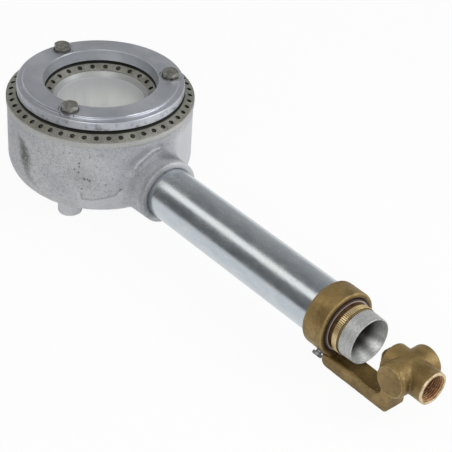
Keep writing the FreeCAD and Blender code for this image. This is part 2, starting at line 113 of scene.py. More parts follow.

# Bracket: painted shade in its corners, the inlet's turned face, and painted shade on the collar's front
# round the tube
BRACKET_CORNER_REACH = 7 * MM
INLET_FLAT = span(-0.9, -0.7, INLET_FACE)
COLLAR_EDGE = span(17.2, 19.4)
COLLAR_FACE_START = span(-1.0, -0.6, COLLAR_FRONT)
COLLAR_FACE_END = span(0.5, 0.8, COLLAR_FRONT)

# Adjusting ring: the band of painted shade between its teeth
TOOTH_TIP = span(-0.38, -0.1, REEDED_TIP)
TOOTH_ROOT = span(-0.75, -0.65, REEDED_TIP)

# Air bell: its outside, its lip and the painted shade in its throat
BELL_OUTSIDE = span(-0.7, -0.3, bell_high.z - AXIS)
BELL_LIP = span(-0.9, -0.5, bell_high.x)
BELL_THROAT_SHADE = span(8.8, 12.8)

# Marks on the casting's wall, by angle in degrees and height in millimetres

# Soot trail at the left: angle, height, half width in millimetres, and strength
STAIN = [(-94.5, 57, 0.5, 0.3), (-94.3, 50, 0.8, 0.4), (-90.5, 47, 3.5, 0.8), (-88.5, 41, 6.2, 1.0),
         (-88, 36, 6.2, 1.0), (-88, 31, 5.0, 0.9), (-86.5, 27, 3.2, 0.6), (-84, 23.5, 2.8, 0.5),
         (-80, 20.5, 2.0, 0.3)]
# Faint soiling round the blow holes, in the same terms
SOILED = [(-50, 48, 4, 0.08), (-48, 42, 7, 0.17), (-46, 35, 8, 0.22), (-44, 28, 6, 0.14), (-43, 24, 4, 0.06)]
# Blow holes: angle, height, radius and depth in millimetres
PITS = [(-48.6, 46.4, 0.9, 0.35), (-51.5, 41.6, 0.8, 0.25), (-48.6, 44.0, 0.9, 0.25),
        (-48.9, 39.7, 0.9, 0.25), (-45.5, 35.3, 1.1, 0.5), (-43.6, 35.4, 0.8, 0.4),
        (-42.2, 34.4, 1.0, 0.45), (-47.0, 28.0, 0.8, 0.25), (-54.2, 53.1, 0.7, 0.2),
        (-42.3, 51.6, 0.7, 0.2), (-28.8, 35.7, 0.6, 0.15), (-32.5, 31.6, 0.7, 0.15)]
# Cold-shut line beside the socket: angle and height of its points
CRACK = [(-24.0, 27.3), (-22.3, 27.8), (-21.3, 27.0), (-19.0, 26.3)]
# Edge of the ground patch over the lug: angle and height of its points
GROUND_EDGE = [(-47.8, 25.4), (-47.3, 20.2), (-40.8, 19.7), (-33.2, 21.6), (-26.7, 23.4), (-24.0, 26.7)]
# Where a trail and a blow hole are full and where they end, as shares of half their width
TRAIL_FULL, TRAIL_NONE = 0.2, 1.5
PIT_FULL, PIT_NONE = 0.25, 1.1
# Depths of the line and of the patch's edge in the wall
CRACK_DEPTH = 0.45 * MM
GROUND_EDGE_DEPTH = 0.1 * MM
# The ground patch's ends, by angle in degrees, how far it fades upwards, and the wall's radius
GROUND_START = (-52, -47)
GROUND_END = (-24, -20)
GROUND_FADE = 1.2 * MM
WALL_ONLY = span(50, 54)
# Painted light on the wall beyond the socket, by angle in degrees and height
LIT_WALL_START = (10, 20)
LIT_WALL_TOP = span(-12, -7, RIM)
# The ground lower faces of the lugs
GROUND_FOOT = span(10, 14)

# Marks round the socket, as x, y and z in millimetres

# Thin rib left by the mould on the fillet between wall and socket
SOCKET_RIB = [(58.1, -15.9, 42.1), (58.9, -12.4, 45.9), (59.7, -7.5, 49.3), (60.1, -3.4, 51.6),
              (60.2, -1.2, 51.7), (60.2, 1.6, 51.4)]
# Foot of the rib: how far it lies from the rib along x, y and z
RIB_FOOT_SHIFT = (1.3, 0, -1.0)
RIB_HEIGHT = 0.45 * MM
RIB_FOOT_DEPTH = 0.25 * MM
# Painted shade beyond the rib and on the socket's top
SOCKET_ROOT_SHADE = [(59.5, -17.5, 45.5), (59.6, -12.5, 49.0), (59.3, -7.0, 51.5)]
SOCKET_TOP_SHADE = [(59.0, 1.0, 47.6), (63.0, 4.0, 47.0), (67.0, 7.0, 46.3)]
SOCKET_TOP_END = span(68, 71)
# Painted shade on the left side and painted highlight on the right side of the socket's end
MOUTH_LENGTH = span(69, 71)
MOUTH_LEFT = span(-8, 3)
END_FACE_LENGTH = span(70.5, 72.2)
END_FACE_RIGHT = span(-7, 6)

# Strengths of the dark marks: painted shade beyond the rib, on the socket's top and at its mouth, then the
# ground patch's edge, and painted shade at the rib's foot
ROOT_SHADE, TOP_SHADE, MOUTH_SHADE, DULL_EDGE, RIB_FOOT_SHADE = 0.3, 0.55, 0.3, 0.35, 0.4
# Strengths of the light marks: painted light on the wall beyond the socket, painted highlights on the
# socket's end face and rib, and how uneven the rib's highlight is
WALL_LIGHT, END_FACE_HIGHLIGHT, RIB_HIGHLIGHT, RIB_HIGHLIGHT_UNEVEN = 1.4, 1.3, 0.45, 0.6

# Round at the socket's end in the solid: its centre line's place and radius, and its own radius
SOCKET_ROUND_X = 70.5 * MM
SOCKET_ROUND_RADIUS = 18.0 * MM
SOCKET_ROUND = 3.0 * MM
# The smaller round that the skin has there, how far out the change reaches, and how much of the
# old round's quarter turn becomes side, edge and face, in degrees each
SOCKET_EDGE = 1.0 * MM
SOCKET_ROUND_REACH = 5 * MM
SOCKET_SHARE_DEGREES = 30
# The socket's mouth: past this length and within this radius it closes in on the tube, up to a gap
MOUTH_START = 69 * MM
MOUTH_RADIUS = 18.3 * MM
MOUTH_GAP = 0.12 * MM

# Where the body's skin is rough: its wall, its underside and the socket
WALL_SKIN = span(58.6, 59.2)
WALL_TOP = span(-5.4, -4.6, RIM)
UNDERSIDE = span(14, 20)
SOCKET_LENGTH = span(56, 60)
SOCKET_SKIN = span(18.6, 19.4)

# The bracket's smooth places: the inlet's face, the collar's bore and the inlet's bore
INLET_SMOOTH = span(-0.9, -0.5, INLET_FACE)
COLLAR_BORE = 17.6 * MM
COLLAR_BORE_ENDS = span(218, 236)
COLLAR_GAP = 0.2 * MM
INLET_BORE = 8.6 * MM
INLET_DEPTH = 14 * MM

# Mesh sizes of the two skins
BODY_VOXEL = 0.62 * MM
BRACKET_VOXEL = 0.36 * MM
# Lumps in the skins and in the sides of the marks: height in millimetres, lumps per metre, and seed
BODY_LUMPS = ((0.16, 70, 1), (0.07, 260, 2), (0.035, 900, 3))
BRACKET_LUMPS = ((0.12, 110, 4), (0.06, 380, 5), (0.045, 1100, 6))
TRAIL_LUMPS = ((1.2, 240, 8),)
RIB_LUMPS = ((0.45, 330, 9),)
# How a seed moves the noise along x, y and z
SEED_SHIFT = (7.1, 3.3, 5.7)
# How much a smoothing round grows the mesh back, to keep its size
GROW_BACK = 1.04
# Steps to each leg of a path that is laid on a skin, and its least step
LEG_STEPS = 5
LEAST_STEP = 0.1 * MM

# Inlet thread: the standard pipe thread that fits the mouth, on a thin sleeve
THREAD_ROOT = 8.33 * MM
THREAD_CREST = 7.48 * MM
THREAD_PITCH = 1.337 * MM
THREAD_LENGTH = 12.4 * MM
THREAD_START = INLET_FACE - 0.55 * MM
THREAD_LEAD_TURNS = 0.6
THREAD_FLAT_SHARE = 0.1
SLEEVE_RADIUS = THREAD_ROOT + 0.35 * MM
RING_POINTS = 96
STEPS_PER_TURN = 14
SHARP_DEGREES = 38


# Node building

def tone(red, green, blue):
    """A colour from its screen values, 0 to 255, as the shader's linear values."""
    def linear(value):
        value /= 255
        return value / 12.92 if value <= 0.04045 else ((value + 0.055) / 1.055) ** 2.4
    return (linear(red), linear(green), linear(blue), 1.0)


class Look:
    """A material under construction, with short calls for the nodes that it needs."""

    # Places of the colour sockets on a Mix node
    FIRST_COLOUR = 6
    SECOND_COLOUR = 7
    MIXED_COLOUR = 2

    def __init__(self, name):
        self.material = bpy.data.materials.new(name)
        self.material.use_nodes = True
        self.tree = self.material.node_tree
        self.tree.nodes.clear()
        self.surface = self.tree.nodes.new("ShaderNodeBsdfPrincipled")
        self.output = self.tree.nodes.new("ShaderNodeOutputMaterial")
        self.tree.links.new(self.surface.outputs["BSDF"], self.output.inputs["Surface"])
        self.place = self.tree.nodes.new("ShaderNodeTexCoord").outputs["Object"]

    def plug(self, socket, value):
        """Links a node's output to a socket, or writes a plain value on it."""
        if isinstance(value, bpy.types.NodeSocket):
            self.tree.links.new(value, socket)
        else:
            socket.default_value = value

    def set(self, **values):
        """Sets the shader's own sockets, with _ for a space in their names."""
        for name, value in values.items():
            self.plug(self.surface.inputs[name.replace("_", " ")], value)

    def math(self, operation, first, second=0.0):
        node = self.tree.nodes.new("ShaderNodeMath")
        node.operation = operation
        self.plug(node.inputs[0], first)
        self.plug(node.inputs[1], second)
        return node.outputs[0]

    def split(self, vector=None):
        """The three parts of a vector, or of the place on the object."""
        node = self.tree.nodes.new("ShaderNodeSeparateXYZ")
        self.plug(node.inputs[0], vector or self.place)
        return node.outputs

    def stretched(self, scale):
        """The place on the object, scaled differently along each axis."""
        node = self.tree.nodes.new("ShaderNodeMapping")
        self.plug(node.inputs["Vector"], self.place)
        node.inputs["Scale"].default_value = scale
        return node.outputs[0]

    def noise(self, scale, detail=3.0, roughness=0.55, where=None, along=None):
        """Noise at each place on the object, or along one length, such as a lathe's turning lines."""
        node = self.tree.nodes.new("ShaderNodeTexNoise")
        if along is None:
            self.plug(node.inputs["Vector"], where or self.place)
        else:
            node.noise_dimensions = "1D"
            self.plug(node.inputs["W"], along)
        for name, value in (("Scale", scale), ("Detail", detail), ("Roughness", roughness)):
            node.inputs[name].default_value = value
        return node.outputs["Fac"]

    def between(self, value, low, high, start=0.0, end=1.0):
        """Maps the range from low to high to the one from start to end, with a smooth step."""
        node = self.tree.nodes.new("ShaderNodeMapRange")
        node.interpolation_type = "SMOOTHSTEP"
        for name, number in (("Value", value), ("From Min", low), ("From Max", high),
                             ("To Min", start), ("To Max", end)):
            self.plug(node.inputs[name], number)
        return node.outputs[0]

    def mix(self, share, first, second, blend="MIX"):
        """The first colour where the share is 0, and the second where it is 1."""
        node = self.tree.nodes.new("ShaderNodeMix")
        node.data_type = "RGBA"
        node.blend_type = blend
        self.plug(node.inputs["Factor"], share)
        self.plug(node.inputs[self.FIRST_COLOUR], first)
        self.plug(node.inputs[self.SECOND_COLOUR], second)
        return node.outputs[self.MIXED_COLOUR]

    def part_mix(self, strength, share, first, second):
        """A mix with its share weakened to a strength."""
        return self.mix(self.math("MULTIPLY", share, strength), first, second)

    def relief(self, height, strength, distance, base=None):
        node = self.tree.nodes.new("ShaderNodeBump")
        self.plug(node.inputs["Height"], height)
        node.inputs["Strength"].default_value = strength
        node.inputs["Distance"].default_value = distance
        if base is not None:
            self.plug(node.inputs["Normal"], base)
        return node.outputs[0]

    def tangent(self, axis):
        """Direction round an axis, for the stretched gloss of turned metal."""
        node = self.tree.nodes.new("ShaderNodeTangent")
        node.direction_type = "RADIAL"
        node.axis = axis
        return node.outputs[0]

    def length(self, first, second):
        """Length of a vector with these two parts."""
        return self.math("SQRT", self.math("ADD", self.math("MULTIPLY", first, first),
                                           self.math("MULTIPLY", second, second)))

    def tube_radius(self):
        """Distance from the mixing tube's axis."""
        x, y, z = self.split()
        return self.length(y, self.math("SUBTRACT", z, AXIS))

    def burner_radius(self):
        """Distance from the burner's axis."""
        x, y, z = self.split()
        return self.length(x, y)

    def edges(self, low, high):
        """Share of convex edge, from the surface's own curvature."""
        node = self.tree.nodes.new("ShaderNodeNewGeometry")
        return self.between(node.outputs["Pointiness"], low, high)

    def shade_in_hollows(self, reach, open_share, shut_share):
        """Share of painted shade: 1 deep in corners and hollows, 0 on open faces."""
        node = self.tree.nodes.new("ShaderNodeAmbientOcclusion")
        node.samples = 4
        node.inputs["Distance"].default_value = reach
        return self.between(node.outputs["AO"], shut_share, open_share, 1.0, 0.0)

    def mark(self, channel):
        """One channel of the marks worked into a cast skin: the stain, the dark marks with painted shade, and
        the ground metal with painted light.
        """
        node = self.tree.nodes.new("ShaderNodeAttribute")
        node.attribute_name = "marks"
        return self.split(node.outputs["Color"])[channel]

    def spot(self, centre, full, none):
        """1 up to a distance from a point, fading to 0 at a second one."""
        node = self.tree.nodes.new("ShaderNodeVectorMath")
        node.operation = "DISTANCE"
        self.plug(node.inputs[0], self.place)
        node.inputs[1].default_value = centre
        return self.between(node.outputs["Value"], full, none, 1.0, 0.0)


# Materials

def cast_aluminium():
    """Fine blasted sand casting: dense small dark grains, a soot stain, dark marks and ground metal with
    painted shade and light among them, painted shade in its corners, and a smooth opening painted bright with
    reflections and shaded towards its top.
    """
    look = Look("cast_aluminium_look")
    x, y, z = look.split()
    broad = look.noise(42, 4, 0.55)
    mottle = look.noise(420, 5, 0.7)
    grain = look.noise(1700, 4, 0.75)
    colour = look.mix(look.between(broad, 0.34, 0.66), tone(172, 173, 178), tone(190, 191, 193))
    colour = look.mix(look.between(mottle, 0.5, 0.68, 0.0, 0.5), colour, tone(136, 138, 148))
    colour = look.mix(look.between(grain, 0.52, 0.72, 0.0, 0.7), colour, tone(232, 233, 234))
    colour = look.mix(look.between(grain, 0.3, 0.46, 0.9, 0.0), colour, tone(98, 100, 110))
    dirt = look.math("MULTIPLY", look.between(look.noise(80, 3, 0.6), 0.5, 0.6),
                     look.between(look.noise(1250, 3, 0.8), 0.5, 0.6))
    colour = look.part_mix(0.38, dirt, colour, tone(108, 108, 114))
    # Painted shade in corners and hollows, fading out towards the feet and weaker on the socket
    corner = look.shade_in_hollows(CORNER_REACH, 0.98, 0.5)
    corner = look.math("MULTIPLY", corner, look.between(z, *CORNER_FOOT, 0.0, 0.75))
    corner = look.math("MULTIPLY", corner, look.between(x, *CORNER_SOCKET, 1.0, 0.85))
    corner = look.math("MULTIPLY", corner, look.between(x, *CORNER_SOCKET_END, 1.0, 0.2))
    colour = look.mix(corner, colour, tone(104, 107, 122))
    patches = look.between(look.noise(560, 6, 0.8), 0.38, 0.58, 0.45, 1.0)
    colour = look.mix(look.math("MULTIPLY", look.mark(0), patches), colour, tone(84, 84, 80))
    # Channel 1 darkens: pits, the line and the patch's edge, with painted shade round the socket and at the
    # rib's foot
    colour = look.part_mix(0.8, look.mark(1), colour, tone(62, 63, 66))
    # Channel 2 lightens: ground metal, with painted light on the wall right of the socket, painted highlights
    # on its end and rib, and the lug's ground patch partly a painted reflection of the floor
    colour = look.part_mix(0.55, look.mark(2), colour, tone(206, 207, 210))
    colour = look.part_mix(0.5, look.between(z, *TURNED_LIP), colour, tone(178, 178, 170))
    # The opening's smooth wall: near-white painted reflection of the floor, painted shade towards its top,
    # and a darker seat
    inside = look.math("MULTIPLY", look.between(look.burner_radius(), *OPENING_WALL, 1.0, 0.0),
                       look.between(z, *OPENING_FOOT))
    # Vertical streaks of painted reflection on the opening's wall
    streaks = look.noise(1.0, 3, 0.5, look.stretched((55, 55, 12)))
    smooth = look.mix(look.between(streaks, 0.3, 0.7), tone(229, 231, 232), tone(254, 254, 250))
    # Painted shade: the opening's wall darker towards its top
    smooth = look.mix(look.between(z, *OPENING_TOP_SHADE, 0.0, 0.8), smooth, tone(186, 188, 191))
    smooth = look.part_mix(0.8, look.between(z, *OPENING_SEAT), smooth, tone(156, 157, 156))
    colour = look.mix(inside, colour, smooth)
    look.set(Base_Color=colour, Metallic=0.3)
    look.set(Roughness=look.math("SUBTRACT", look.between(mottle, 0.3, 0.7, 0.5, 0.62),
                                 look.math("MULTIPLY", inside, 0.1)))
    keep = look.math("SUBTRACT", 1.0, look.math("MULTIPLY", inside, 0.85))
    rough = look.relief(look.math("MULTIPLY", grain, keep), 0.5, 0.3 * MM)
    look.set(Normal=look.relief(look.math("MULTIPLY", mottle, keep), 0.35, 0.5 * MM, rough))
    return look.material


def port_row(look, radius, count, circle, first_degrees):
    """1 within the sooty ring around each port of a row."""
    x, y, z = look.split()
    step = 2 * math.pi / count
    turn = look.math("DIVIDE", look.math("SUBTRACT", look.math("ARCTAN2", y, x),
                                         math.radians(first_degrees)), step)
    share = look.math("SUBTRACT", look.math("FRACT", look.math("ADD", turn, 0.5)), 0.5)
    gap = look.length(look.math("MULTIPLY", share, step * circle), look.math("SUBTRACT", radius, circle))
    return look.between(gap, *PORT_SOOT, 1.0, 0.0)


def port_ring_metal():
    """Dull greenish grey ring with fine turning lines, heat-darkened ports, and painted shade with soot in
    the band under the cover.
    """
    look = Look("port_ring_metal_look")
    x, y, z = look.split()
    radius = look.burner_radius()
    lines = look.noise(4300, 4, 0.6, along=look.math("ADD", radius, look.math("MULTIPLY", z, 0.7)))
    broad = look.noise(95, 4, 0.6)
    grain = look.noise(900, 3, 0.6)
    colour = look.mix(look.between(broad, 0.34, 0.66), tone(136, 136, 127), tone(160, 160, 151))
    colour = look.mix(look.between(lines, 0.45, 0.8, 0.0, 0.4), colour, tone(158, 158, 150))
    colour = look.mix(look.between(grain, 0.5, 0.7, 0.0, 0.6), colour, tone(84, 84, 78))
    # The band under the cover: painted shade, with soot
    band = look.math("MULTIPLY", look.between(radius, *BAND_INSIDE),
                     look.between(radius, *BAND_OUTSIDE, 1.0, 0.0))
    colour = look.part_mix(0.85, band, colour, tone(64, 64, 60))
    ports = look.math("MAXIMUM", port_row(look, radius, **OUTER_PORTS), port_row(look, radius, **INNER_PORTS))
    colour = look.part_mix(0.95, ports, colour, tone(22, 22, 20))
    look.set(Base_Color=colour, Metallic=0.5, Roughness=look.between(broad, 0.3, 0.7, 0.46, 0.6))
    look.set(Anisotropic=0.25, Anisotropic_Rotation=0.25, Tangent=look.tangent("Z"))
    look.set(Normal=look.relief(lines, 0.16, 0.12 * MM, look.relief(grain, 0.1, 0.15 * MM)))
    return look.material


def turned_aluminium():
    """Satin turned cover with concentric lines, marks and painted shade round the bolts, and a smudged
    flange.
    """
    look = Look("turned_aluminium_look")
    x, y, z = look.split()
    radius = look.burner_radius()
    lines = look.noise(3300, 5, 0.6, along=look.math("ADD", radius, look.math("MULTIPLY", z, 1.3)))
    fine = look.noise(11000, 2, 0.6, along=look.math("ADD", radius, z))
    broad = look.noise(34, 3)
    smudge = look.between(look.noise(170, 5, 0.7), 0.48, 0.66, 0.0, 0.75)
    colour = look.mix(look.between(broad, 0.35, 0.65), tone(184, 188, 196), tone(201, 204, 211))
    colour = look.mix(look.between(lines, 0.5, 0.8, 0.0, 0.3), colour, tone(226, 227, 230))
    blotch = look.between(look.noise(260, 3, 0.6), 0.48, 0.56)
    for i in (1, 2, 3):
        low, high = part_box("cover_bolt_%d" % i)
        centre = ((low.x + high.x) / 2, (low.y + high.y) / 2, COVER_TOP)
        witness = look.math("SUBTRACT", look.spot(centre, *WITNESS_OUTSIDE),
                            look.spot(centre, *WITNESS_INSIDE))
        # The blotched witness ring of each bolt's seat, and painted shade round its washer
        marks = look.math("MAXIMUM", look.math("MULTIPLY", witness, blotch),
                          look.spot(centre, *WASHER_SHADE))
        colour = look.part_mix(0.75, marks, colour, tone(74, 76, 80))
    side = look.math("MULTIPLY", look.between(z, *FLANGE_TOP, 1.0, 0.0), look.between(radius, *FLANGE_SIDE))
    colour = look.mix(look.math("MULTIPLY", smudge, look.math("ADD", side, 0.15)), colour,
                      tone(132, 132, 134))
    look.set(Base_Color=colour, Metallic=0.8, Roughness=look.between(broad, 0.3, 0.7, 0.34, 0.42))
    look.set(Anisotropic=0.45, Anisotropic_Rotation=0.25, Tangent=look.tangent("Z"))
    look.set(Normal=look.relief(lines, 0.1, 0.12 * MM, look.relief(fine, 0.06, 0.05 * MM)))
    return look.material


def bolt_steel():
    """Blotched grey steel of the bolts' heads."""
    look = Look("bolt_steel_look")
    blotch = look.noise(420, 4, 0.65)
    grain = look.noise(1600, 3, 0.6)
    colour = look.mix(look.between(blotch, 0.35, 0.68), tone(122, 121, 114), tone(166, 165, 158))
    colour = look.mix(look.between(grain, 0.6, 0.8, 0.0, 0.5), colour, tone(196, 194, 186))
    look.set(Base_Color=colour, Metallic=0.85, Roughness=look.between(blotch, 0.3, 0.7, 0.34, 0.5))
    look.set(Normal=look.relief(grain, 0.16, 0.1 * MM))
    return look.material


def zinc_steel():
    """Bright zinc-plated tube: drawn lines along it, cloudy plating and small dull spots."""
    look = Look("zinc_steel_look")
    x, y, z = look.split()
    drawn = look.noise(1.0, 4, 0.6, look.stretched((25, 520, 520)))
    cloud = look.noise(1.0, 4, 0.62, look.stretched((60, 130, 130)))
    speck = look.noise(1500, 3, 0.75)
    colour = look.mix(look.between(cloud, 0.36, 0.64), tone(188, 196, 203), tone(200, 206, 210))
    colour = look.mix(look.between(drawn, 0.5, 0.78, 0.0, 0.15), colour, tone(172, 182, 192))
    colour = look.mix(look.between(speck, 0.5, 0.68, 0.0, 0.4), colour, tone(136, 143, 152))
    end = look.between(x, *TUBE_END)
    edge = look.between(look.tube_radius(), *TUBE_EDGE)
    colour = look.mix(end, colour, look.mix(edge, tone(186, 168, 158), tone(58, 46, 38)))
    look.set(Base_Color=colour, Metallic=look.math("SUBTRACT", 0.92, look.math("MULTIPLY", end, 0.7)))
    look.set(Roughness=look.math("MAXIMUM", look.between(cloud, 0.3, 0.7, 0.2, 0.28),
                                 look.math("MULTIPLY", end, 0.6)))
    look.set(Anisotropic=0.2, Tangent=look.tangent("X"))
    ripple = look.noise(1.0, 4, 0.65, look.stretched((300, 480, 480)))
    rough = look.relief(look.math("MULTIPLY", speck, look.math("SUBTRACT", 1.0, end)), 0.35, 0.07 * MM)
    look.set(Normal=look.relief(ripple, 0.2, 0.08 * MM, rough))
    return look.material


def cast_brass():
    """Dull olive-brown sand-cast brass with a grainy skin, brighter rubbed places, and painted shade in its
    corners and on the collar's front face.
    """
    look = Look("cast_brass_look")
    x, y, z = look.split()
    broad = look.noise(60, 4, 0.6)
    mottle = look.noise(330, 4, 0.68)
    grain = look.noise(1700, 3, 0.7)
    colour = look.mix(look.between(broad, 0.36, 0.64), tone(119, 97, 53), tone(150, 126, 77))
    colour = look.mix(look.between(mottle, 0.48, 0.7, 0.0, 0.35), colour, tone(100, 79, 45))
    colour = look.mix(look.between(grain, 0.58, 0.78, 0.0, 0.55), colour, tone(186, 164, 118))
    colour = look.mix(look.between(grain, 0.26, 0.42, 0.55, 0.0), colour, tone(84, 68, 46))
    worn = look.math("MULTIPLY", look.edges(0.505, 0.54), look.between(mottle, 0.35, 0.6))
    colour = look.part_mix(0.6, worn, colour, tone(206, 182, 132))
    # Painted shade in the bracket's corners and hollows
    corner = look.shade_in_hollows(BRACKET_CORNER_REACH, 0.92, 0.35)
    colour = look.part_mix(0.75, corner, colour, tone(66, 48, 28))
    chips = look.between(look.noise(900, 2, 0.5), 0.71, 0.75)
    colour = look.part_mix(0.7, chips, colour, tone(214, 190, 142))
    face = look.between(x, *INLET_FLAT)
    turned = look.mix(look.between(mottle, 0.4, 0.65), tone(222, 204, 168), tone(178, 156, 116))
    colour = look.mix(face, colour, turned)
    # Painted shade on the collar's front face round the tube
    collar_face_shade = look.math("MULTIPLY", look.between(look.tube_radius(), *COLLAR_EDGE, 1.0, 0.0),
                            look.between(x, *COLLAR_FACE_START))
    collar_face_shade = look.math("MULTIPLY", collar_face_shade, look.between(x, *COLLAR_FACE_END, 1.0, 0.0))
    colour = look.part_mix(0.8, collar_face_shade, colour, tone(74, 52, 34))
    look.set(Base_Color=colour, Metallic=look.math("ADD", 0.5, look.math("MULTIPLY", face, 0.3)))
    look.set(Roughness=look.between(mottle, 0.3, 0.7, 0.42, 0.58))
    look.set(Normal=look.relief(mottle, 0.3, 0.5 * MM, look.relief(grain, 0.4, 0.25 * MM)))
    return look.material


def turned_brass():
    """Bright turned brass of the adjusting ring, with painted shade between its teeth."""
    look = Look("turned_brass_look")
    x, y, z = look.split()
    radius = look.tube_radius()
    lines = look.noise(6200, 3, 0.6, along=look.math("ADD", x, radius))
    blotch = look.noise(260, 3)
    colour = look.mix(look.between(blotch, 0.35, 0.65), tone(222, 196, 142), tone(240, 218, 170))
    colour = look.mix(look.between(lines, 0.5, 0.8, 0.0, 0.35), colour, tone(234, 218, 182))
    # Painted shade between the teeth
    tooth_gap_shade = look.math("MULTIPLY", look.between(radius, *TOOTH_TIP, 1.0, 0.0),
                       look.between(radius, *TOOTH_ROOT))
    colour = look.mix(tooth_gap_shade, colour, tone(40, 27, 14))
    look.set(Base_Color=colour, Metallic=0.6, Roughness=0.36)
    look.set(Anisotropic=0.2, Anisotropic_Rotation=0.25, Tangent=look.tangent("X"))
    look.set(Normal=look.relief(lines, 0.1, 0.06 * MM))
    return look.material


def aged_brass():
    """The bush in the tube's end and the injector, browned by heat."""
    look = Look("aged_brass_look")
    lines = look.noise(4200, 3, 0.6, along=look.tube_radius())
    blotch = look.noise(300, 3)
    colour = look.mix(look.between(blotch, 0.35, 0.65), tone(92, 70, 46), tone(124, 98, 66))
    colour = look.mix(look.between(lines, 0.5, 0.8, 0.0, 0.4), colour, tone(70, 52, 36))
    look.set(Base_Color=colour, Metallic=0.6, Roughness=0.5)
    look.set(Normal=look.relief(lines, 0.1, 0.06 * MM))
    return look.material


def bell_aluminium():
    """Fine turned bell: concentric cutter marks that draw light and dark streaks, with painted shade in its
    cone and its throat.
    """
    look = Look("bell_aluminium_look")
    x, y, z = look.split()
    radius = look.tube_radius()
    lines = look.noise(2600, 4, 0.6, along=look.math("ADD", x, look.math("MULTIPLY", radius, 0.8)))
    mottle = look.noise(1.0, 3, 0.7, look.stretched((2600, 620, 620)))
    dull = look.math("MAXIMUM", look.between(radius, *BELL_OUTSIDE), look.between(x, *BELL_LIP))
    cone_shade = look.math("SUBTRACT", 1.0, dull)
    colour = look.mix(look.between(lines, 0.38, 0.66), tone(166, 168, 167), tone(216, 217, 215))
    colour = look.part_mix(0.6, look.between(mottle, 0.46, 0.62), colour, tone(136, 138, 136))
    # Painted shade: the cone a little darker, and its throat nearly black
    colour = look.part_mix(0.1, cone_shade, colour, tone(120, 121, 120))
    colour = look.mix(look.between(radius, *BELL_THROAT_SHADE, 0.97, 0.0), colour, tone(40, 37, 36))
    look.set(Base_Color=colour, Metallic=look.math("SUBTRACT", 0.75, look.math("MULTIPLY", dull, 0.33)))
    look.set(Roughness=look.math("ADD", 0.44, look.math("MULTIPLY", dull, 0.08)))
    look.set(Anisotropic=0.4, Anisotropic_Rotation=0.25, Tangent=look.tangent("X"))
    look.set(Normal=look.relief(lines, 0.3, 0.1 * MM))
    return look.material


def grained_metal(name, scale, detail, coarse, dark, light, metallic, roughness, relief):
    """A plain metal with fine grain between two tones. The relief is a strength and a distance."""
    look = Look(name + "_look")
    grain = look.noise(scale, detail, coarse)
    colour = look.mix(look.between(grain, 0.35, 0.7), tone(*dark), tone(*light))
    look.set(Base_Color=colour, Metallic=metallic, Roughness=roughness)
    if relief:
        look.set(Normal=look.relief(grain, *relief))
    return look.material


# Plain metals: the grain's scale, detail and roughness, its dark and light tone, then the
# surface's metallic share, roughness and relief
GRAINED_METALS = {
    "washer_steel": (1300, 3, 0.6, (84, 83, 80), (122, 120, 115), 0.8, 0.45, (0.15, 0.1 * MM)),
    "thread_brass": (800, 3, 0.6, (150, 110, 76), (184, 144, 104), 0.55, 0.36, None),
    "screw_steel": (1400, 3, 0.55, (112, 112, 114), (146, 146, 148), 0.7, 0.5, (0.1, 0.06 * MM)),
    "spring_wire": (1800, 2, 0.55, (120, 120, 120), (158, 158, 158), 0.9, 0.32, None),
    "copper": (900, 3, 0.55, (150, 92, 66), (188, 124, 92), 0.9, 0.4, (0.1, 0.06 * MM)),
}

LOOKS = {make.__name__: make() for make in (
    cast_aluminium, port_ring_metal, turned_aluminium, bolt_steel, zinc_steel, cast_brass,
    turned_brass, aged_brass, bell_aluminium)}
for look_name, values in GRAINED_METALS.items():
    LOOKS[look_name] = grained_metal(look_name, *values)

slot_of_node = {part["node"]: part["material_slot"] for part in frame["record"]["subparts"]}
for node_name, node in NODES.items():
    node.data.materials.clear()
    node.data.materials.append(LOOKS[slot_of_node[node_name]])
for node_name in ("tube_bush", "injector"):
    NODES[node_name].data.materials[0] = LOOKS["aged_brass"]


# Cast skins: the castings' solids with soft edges, uneven faces and casting marks

def new_object(name, data):
    """An object with this data, linked into the scene."""
    made = bpy.data.objects.new(name, data)
    bpy.context.scene.collection.objects.link(made)
    return made


def remeshed(node_name, voxel):
    """A closed copy of a node's mesh with evenly sized faces."""
    mesh = NODES[node_name].data.copy()
    work = bmesh.new()
    work.from_mesh(mesh)
    bmesh.ops.remove_doubles(work, verts=work.verts, dist=TINY)
    work.to_mesh(mesh)
    work.free()
    piece = new_object(node_name + "_skin", mesh)
    change = piece.modifiers.new("remesh", "REMESH")
    change.mode = "VOXEL"
    change.voxel_size = voxel
    graph = bpy.context.evaluated_depsgraph_get()
    fine = bpy.data.meshes.new_from_object(piece.evaluated_get(graph))
    piece.modifiers.clear()
    piece.data = fine
    fine.name = piece.name
    fine.materials.clear()
    return piece


def vectors_of(mesh, kind):
    """The mesh's points ("co") or normals ("normal"), one row each."""
    flat = np.empty(len(mesh.vertices) * 3)
    mesh.vertices.foreach_get(kind, flat)
    return flat.reshape(-1, 3)


def relaxed(mesh, points, rounds, share):
    """Points after some rounds of smoothing along the mesh's edges, with the size kept."""
    ends = np.empty(len(mesh.edges) * 2, dtype=np.int64)
    mesh.edges.foreach_get("vertices", ends)
    first, second = ends.reshape(-1, 2).T
    count = np.bincount(ends, minlength=len(points)).clip(1)[:, None]
    for step in range(rounds):
        for factor in (share, -share * GROW_BACK):
            total = np.zeros_like(points)
            for axis in range(3):
                total[:, axis] = (np.bincount(first, points[second, axis], len(points))
                                  + np.bincount(second, points[first, axis], len(points)))
            points = points + factor * (total / count - points)
    return points


def uneven(points, scale, seed):
    """Smooth noise of about -1 to 1 at each point, at a scale in lumps per metre."""
    shift = Vector([seed * step for step in SEED_SHIFT])
    return np.array([noise.noise(Vector(p) * scale + shift) for p in points])


